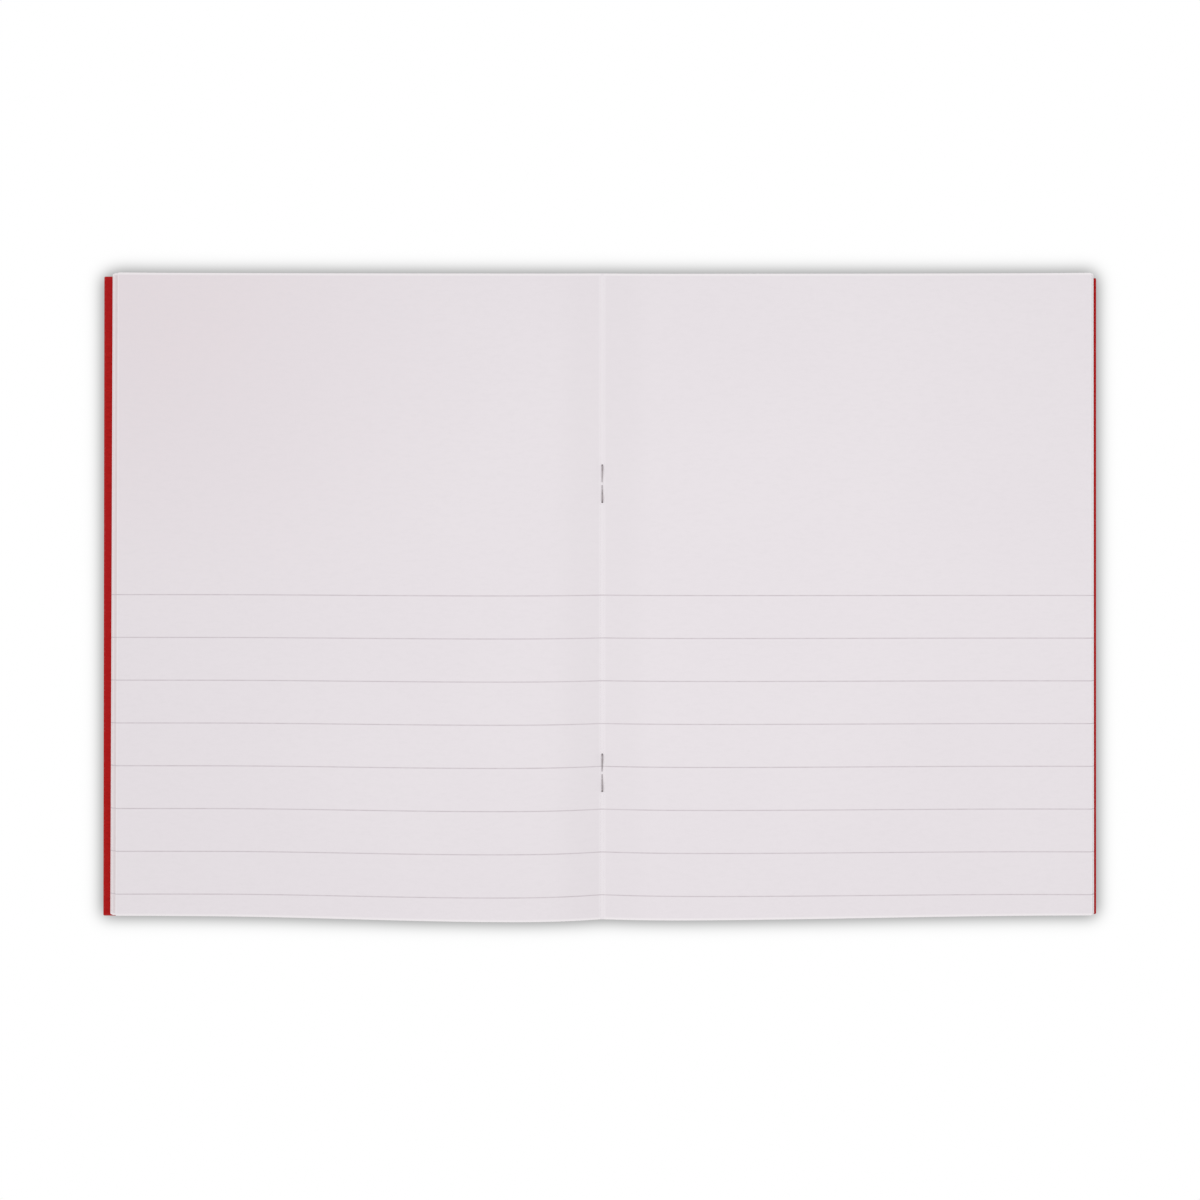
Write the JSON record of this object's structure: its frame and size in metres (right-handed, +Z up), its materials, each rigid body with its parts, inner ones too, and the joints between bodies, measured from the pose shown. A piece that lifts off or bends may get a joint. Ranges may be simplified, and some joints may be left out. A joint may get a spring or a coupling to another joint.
{
  "type": "stapled exercise book",
  "caption": "Open half-ruled exercise book: folded sheets in a plain card cover, wire-stapled at the fold, with a cover and leaves that turn.",
  "frame": {"origin": "on the surface that the book lies on, under the middle of the open cover", "axes": "+X towards the right-hand page, across the fold; +Y along the fold, towards the top of the pages; +Z up"},
  "size_m": [0.356, 0.229, 0.0046],
  "materials": {
    "paper": "matte",
    "cover_card": "matte",
    "staple_wire": "satin"
  },
  "bodies": {
    "spine": {"back_cover": "cover_card", "sheet_folds": "paper", "staples": "staple_wire"},
    "front_cover": {"front_cover": "cover_card"},
    "leaf_01": {"leaf_01": "paper"},
    "leaf_02": {"leaf_02": "paper"},
    "leaf_03": {"leaf_03": "paper"},
    "leaf_04": {"leaf_04": "paper"},
    "leaf_05": {"leaf_05": "paper"},
    "leaf_06": {"leaf_06": "paper"},
    "leaf_07": {"leaf_07": "paper"},
    "leaf_08": {"leaf_08": "paper"},
    "leaf_09": {"leaf_09": "paper"},
    "leaf_10": {"leaf_10": "paper"},
    "leaf_11": {"leaf_11": "paper"},
    "leaf_12": {"leaf_12": "paper"},
    "leaf_24": {"leaf_24": "paper"},
    "leaf_23": {"leaf_23": "paper"},
    "leaf_22": {"leaf_22": "paper"},
    "leaf_21": {"leaf_21": "paper"},
    "leaf_20": {"leaf_20": "paper"},
    "leaf_19": {"leaf_19": "paper"},
    "leaf_18": {"leaf_18": "paper"},
    "leaf_17": {"leaf_17": "paper"},
    "leaf_16": {"leaf_16": "paper"},
    "leaf_15": {"leaf_15": "paper"},
    "leaf_14": {"leaf_14": "paper"},
    "leaf_13": {"leaf_13": "paper"}
  },
  "joints": [
    {"name": "front_cover_turn", "type": "hinge", "parent": "spine", "child": "front_cover", "pos_m": [0.0009, 0, 0.0043], "axis": [0, -1, 0], "range_deg": [-179.99, 0]},
    {"name": "leaf_01_turn", "type": "hinge", "parent": "front_cover", "child": "leaf_01", "pos_m": [0.0009, 0, 0.0043], "axis": [0, 1, 0], "range_deg": [0, 179.99]},
    {"name": "leaf_02_turn", "type": "hinge", "parent": "leaf_01", "child": "leaf_02", "pos_m": [0.0009, 0, 0.0043], "axis": [0, 1, 0], "range_deg": [0, 179.99]},
    {"name": "leaf_03_turn", "type": "hinge", "parent": "leaf_02", "child": "leaf_03", "pos_m": [0.0009, 0, 0.0043], "axis": [0, 1, 0], "range_deg": [0, 179.99]},
    {"name": "leaf_04_turn", "type": "hinge", "parent": "leaf_03", "child": "leaf_04", "pos_m": [0.0009, 0, 0.0043], "axis": [0, 1, 0], "range_deg": [0, 179.99]},
    {"name": "leaf_05_turn", "type": "hinge", "parent": "leaf_04", "child": "leaf_05", "pos_m": [0.0009, 0, 0.0043], "axis": [0, 1, 0], "range_deg": [0, 179.99]},
    {"name": "leaf_06_turn", "type": "hinge", "parent": "leaf_05", "child": "leaf_06", "pos_m": [0.0009, 0, 0.0043], "axis": [0, 1, 0], "range_deg": [0, 179.99]},
    {"name": "leaf_07_turn", "type": "hinge", "parent": "leaf_06", "child": "leaf_07", "pos_m": [0.0009, 0, 0.0043], "axis": [0, 1, 0], "range_deg": [0, 179.99]},
    {"name": "leaf_08_turn", "type": "hinge", "parent": "leaf_07", "child": "leaf_08", "pos_m": [0.0009, 0, 0.0043], "axis": [0, 1, 0], "range_deg": [0, 179.99]},
    {"name": "leaf_09_turn", "type": "hinge", "parent": "leaf_08", "child": "leaf_09", "pos_m": [0.0009, 0, 0.0043], "axis": [0, 1, 0], "range_deg": [0, 179.99]},
    {"name": "leaf_10_turn", "type": "hinge", "parent": "leaf_09", "child": "leaf_10", "pos_m": [0.0009, 0, 0.0043], "axis": [0, 1, 0], "range_deg": [0, 179.99]},
    {"name": "leaf_11_turn", "type": "hinge", "parent": "leaf_10", "child": "leaf_11", "pos_m": [0.0009, 0, 0.0043], "axis": [0, 1, 0], "range_deg": [0, 179.99]},
    {"name": "leaf_12_turn", "type": "hinge", "parent": "leaf_11", "child": "leaf_12", "pos_m": [0.0009, 0, 0.0043], "axis": [0, 1, 0], "range_deg": [0, 179.99]},
    {"name": "leaf_24_turn", "type": "hinge", "parent": "spine", "child": "leaf_24", "pos_m": [0.0009, 0, 0.0043], "axis": [0, -1, 0], "range_deg": [0, 179.99]},
    {"name": "leaf_23_turn", "type": "hinge", "parent": "leaf_24", "child": "leaf_23", "pos_m": [0.0009, 0, 0.0043], "axis": [0, -1, 0], "range_deg": [0, 179.99]},
    {"name": "leaf_22_turn", "type": "hinge", "parent": "leaf_23", "child": "leaf_22", "pos_m": [0.0009, 0, 0.0043], "axis": [0, -1, 0], "range_deg": [0, 179.99]},
    {"name": "leaf_21_turn", "type": "hinge", "parent": "leaf_22", "child": "leaf_21", "pos_m": [0.0009, 0, 0.0043], "axis": [0, -1, 0], "range_deg": [0, 179.99]},
    {"name": "leaf_20_turn", "type": "hinge", "parent": "leaf_21", "child": "leaf_20", "pos_m": [0.0009, 0, 0.0043], "axis": [0, -1, 0], "range_deg": [0, 179.99]},
    {"name": "leaf_19_turn", "type": "hinge", "parent": "leaf_20", "child": "leaf_19", "pos_m": [0.0009, 0, 0.0043], "axis": [0, -1, 0], "range_deg": [0, 179.99]},
    {"name": "leaf_18_turn", "type": "hinge", "parent": "leaf_19", "child": "leaf_18", "pos_m": [0.0009, 0, 0.0043], "axis": [0, -1, 0], "range_deg": [0, 179.99]},
    {"name": "leaf_17_turn", "type": "hinge", "parent": "leaf_18", "child": "leaf_17", "pos_m": [0.0009, 0, 0.0043], "axis": [0, -1, 0], "range_deg": [0, 179.99]},
    {"name": "leaf_16_turn", "type": "hinge", "parent": "leaf_17", "child": "leaf_16", "pos_m": [0.0009, 0, 0.0043], "axis": [0, -1, 0], "range_deg": [0, 179.99]},
    {"name": "leaf_15_turn", "type": "hinge", "parent": "leaf_16", "child": "leaf_15", "pos_m": [0.0009, 0, 0.0043], "axis": [0, -1, 0], "range_deg": [0, 179.99]},
    {"name": "leaf_14_turn", "type": "hinge", "parent": "leaf_15", "child": "leaf_14", "pos_m": [0.0009, 0, 0.0043], "axis": [0, -1, 0], "range_deg": [0, 179.99]},
    {"name": "leaf_13_turn", "type": "hinge", "parent": "leaf_14", "child": "leaf_13", "pos_m": [0.0009, 0, 0.0043], "axis": [0, -1, 0], "range_deg": [0, 179.99]}
  ]
}
